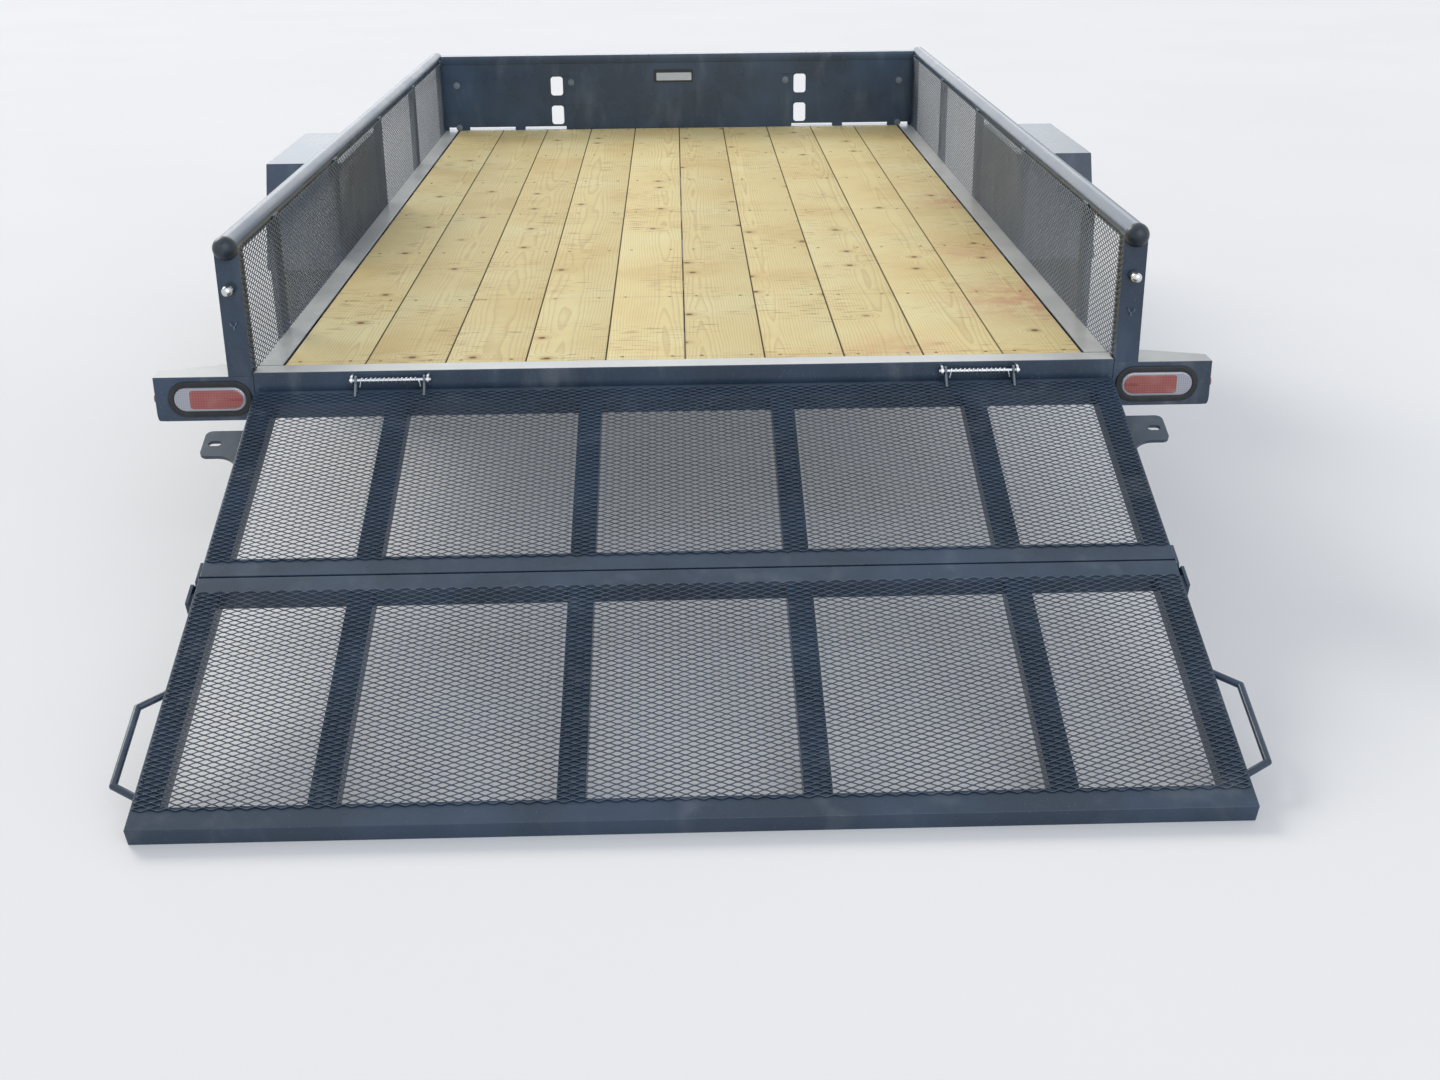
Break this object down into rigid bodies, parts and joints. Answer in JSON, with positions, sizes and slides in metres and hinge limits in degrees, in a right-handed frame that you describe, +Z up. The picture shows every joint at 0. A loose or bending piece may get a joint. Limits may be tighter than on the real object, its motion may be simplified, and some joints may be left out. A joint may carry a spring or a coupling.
{
  "type": "utility trailer",
  "caption": "Single-axle utility trailer with a plank deck, mesh sides, a solid front wall and a bi-fold mesh ramp lowered to the ground, parked on its tongue jack.",
  "frame": {"origin": "on the ground at the middle of the overall length and width, ramp lowered", "axes": "+Y forward along the tongue, +X to the right-hand side, +Z up"},
  "size_m": [2.448, 6.1456, 0.8025],
  "materials": {
    "paint": "dark blue-grey gloss powder coat",
    "wood": "sawn treated pine",
    "tyre": "matt black rubber",
    "wheel": "silver paint",
    "zinc": "zinc plate",
    "rubber": "satin black rubber",
    "lamp_red": "red lens",
    "steel": "black paint"
  },
  "bodies": {
    "chassis": {"axle": "paint", "coupler": "paint", "coupler_lever": "zinc", "deck_planks": "wood", "fender_left": "paint", "fender_right": "paint", "front_crossmember": "paint", "front_wall": "paint", "front_wall_posts": "paint", "gate_latches": "zinc", "hinge_brackets": "zinc", "hinge_coils": "zinc", "inner_crossmembers": "paint", "jack_crank": "zinc", "jack_tube": "zinc", "lamp_boxes": "paint", "lamp_grommets": "rubber", "leaf_springs": "steel", "rail_caps": "rubber", "rear_crossmember": "paint", "side_markers": "lamp_red", "side_mesh_left": "paint", "side_mesh_right": "paint", "side_rails": "paint", "spring_clamps": "steel", "spring_hangers": "steel", "tail_lamps": "lamp_red", "tongue_rails": "paint", "top_rail_left": "paint", "top_rail_right": "paint", "upright_left": "paint", "upright_right": "paint", "wall_posts": "paint"},
    "wheel_left": {"tyre_left": "tyre", "rim_left": "wheel", "hub_left": "zinc"},
    "wheel_right": {"tyre_right": "tyre", "rim_right": "wheel", "hub_right": "zinc"},
    "upper_gate": {"upper_gate_frame": "paint", "upper_gate_mesh": "paint", "gate_lugs": "paint", "latch_tabs": "paint", "upper_fold_ears": "paint"},
    "lower_gate": {"lower_gate_frame": "paint", "lower_gate_mesh": "paint", "gate_handles": "paint", "lower_fold_ears": "paint"},
    "jack_leg": {"jack_leg": "zinc", "jack_foot": "zinc"}
  },
  "joints": [
    {"name": "wheel_left_spin", "type": "hinge", "parent": "chassis", "child": "wheel_left", "pos_m": [-1.119, -0.18917, 0.3315], "axis": [1, 0, 0], "continuous": true},
    {"name": "wheel_right_spin", "type": "hinge", "parent": "chassis", "child": "wheel_right", "pos_m": [1.119, -0.18917, 0.3315], "axis": [1, 0, 0], "continuous": true},
    {"name": "gate_raise", "type": "hinge", "parent": "chassis", "child": "upper_gate", "pos_m": [0, -1.87117, 0.472], "axis": [-1, 0, 0], "range_deg": [0, 109.01]},
    {"name": "gate_fold", "type": "hinge", "parent": "upper_gate", "child": "lower_gate", "pos_m": [0, -2.46495, 0.20256], "axis": [1, 0, 0], "range_deg": [0, 180]},
    {"name": "jack_slide", "type": "slide", "parent": "chassis", "child": "jack_leg", "axis": [0, 0, 1], "range_m": [0, 0.25]}
  ]
}
